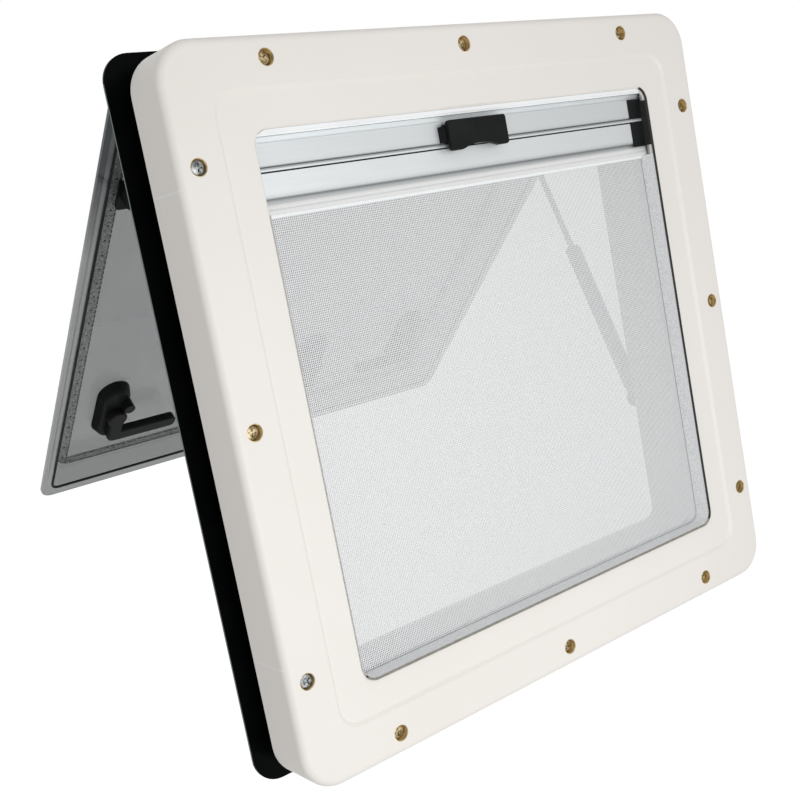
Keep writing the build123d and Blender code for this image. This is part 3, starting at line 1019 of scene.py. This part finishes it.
def seen_directly(tree):
    """1 where the camera, a reflection or a see-through surface looks, 0 for light on the object."""
    path = tree.nodes.new("ShaderNodeLightPath")
    seen = math_node(tree, "MAXIMUM", path.outputs["Is Camera Ray"], path.outputs["Is Glossy Ray"])
    return math_node(tree, "MAXIMUM", seen, path.outputs["Is Transmission Ray"])


def make_world():
    """White where it is seen, and a softer light on the object."""
    world = bpy.data.worlds.new("studio")
    bpy.context.scene.world = world
    world.use_nodes = True
    tree = world.node_tree
    back = tree.nodes["Background"]
    back.inputs["Color"].default_value = WHITE
    level = map_range(tree, seen_directly(tree), (0.0, 1.0), (AMBIENT, 1.0))
    tree.links.new(level, back.inputs["Strength"])


def make_floor():
    """A pale floor that keeps the shadow and glows to white where it is seen."""
    mesh = bmesh.new()
    bmesh.ops.create_grid(mesh, x_segments=1, y_segments=1, size=FLOOR_SIZE)
    mat, shader = principled("floor", (0.86, 0.86, 0.86), 0.9, specular=0.0)
    tree = mat.node_tree
    shader.inputs["Emission Color"].default_value = WHITE
    feed(tree, shader, "Emission Strength", math_node(tree, "MULTIPLY", seen_directly(tree), FLOOR_GLOW))
    obj = link("floor", mesh, mat)
    obj.location = (0, 0, cad_box[0][2] - FLOOR_DROP)


def make_key_light():
    """A soft round light low in front of the frame, a little to the left."""
    data = bpy.data.lights.new("key", "AREA")
    data.shape = "DISK"
    data.size = KEY_SIZE
    data.energy = KEY_POWER
    obj = bpy.data.objects.new("key", data)
    aim = Vector(KEY_TARGET) - Vector(KEY_POS)
    obj.matrix_world = Matrix.Translation(KEY_POS) @ aim.to_track_quat("-Z", "Y").to_matrix().to_4x4()
    bpy.context.scene.collection.objects.link(obj)


looks = {
    "cream_pu": cream_pu(),
    "white_lining": white_lining(),
    "black_frame": black_frame(),
    "black_rubber": black_rubber(),
    "tinted_acrylic": tinted_acrylic(),
    "clear_acrylic": clear_acrylic(),
    "bond": bond(),
    "bare_aluminium": bare_aluminium(),
    "white_plastic": white_plastic(),
    "grey_plastic": grey_plastic(),
    "black_plastic": black_plastic(),
    "strut_tube": strut_tube(),
    "strut_rod": strut_rod(),
    "screen_mesh": screen_mesh(),
}
bar_looks = {
    "blind_bar": bar_aluminium("blind_bar", BLIND_BAR_PAINTED_SHADES),
    "screen_bar": bar_aluminium("screen_bar", SCREEN_BAR_PAINTED_SHADES),
}
dress_nodes(looks)
nodes["screen_clamp_strip"].data.materials[0] = clamp_strip()
for name, look in bar_looks.items():
    nodes[name].data.materials[0] = look
make_screws(
    plated("zinc_screw", (0.22, 0.17, 0.08), (0.80, 0.67, 0.42), 0.5),
    plated("bare_screw", (0.10, 0.11, 0.11), (0.50, 0.52, 0.52), 0.7),
    plated("hole_liner", (0.34, 0.23, 0.08), (0.78, 0.58, 0.28), 0.2))
make_flyscreen(looks["screen_mesh"])
make_seam(looks["black_rubber"])
make_left_ends(bar_looks, looks["black_plastic"])
make_groove_shadow_strip(looks["black_rubber"], bar_looks["screen_bar"])
make_bead(looks["white_plastic"])
make_valance_trim(looks["white_plastic"])
make_border_lip(screen_border())
make_opening_gap_shadow(gap_shadow_look())
make_cap_lips(looks["black_plastic"])
make_clip_shoe(looks["black_plastic"])
make_camera()
make_world()
make_floor()
make_key_light()

bpy.context.scene.view_settings.view_transform = "Standard"
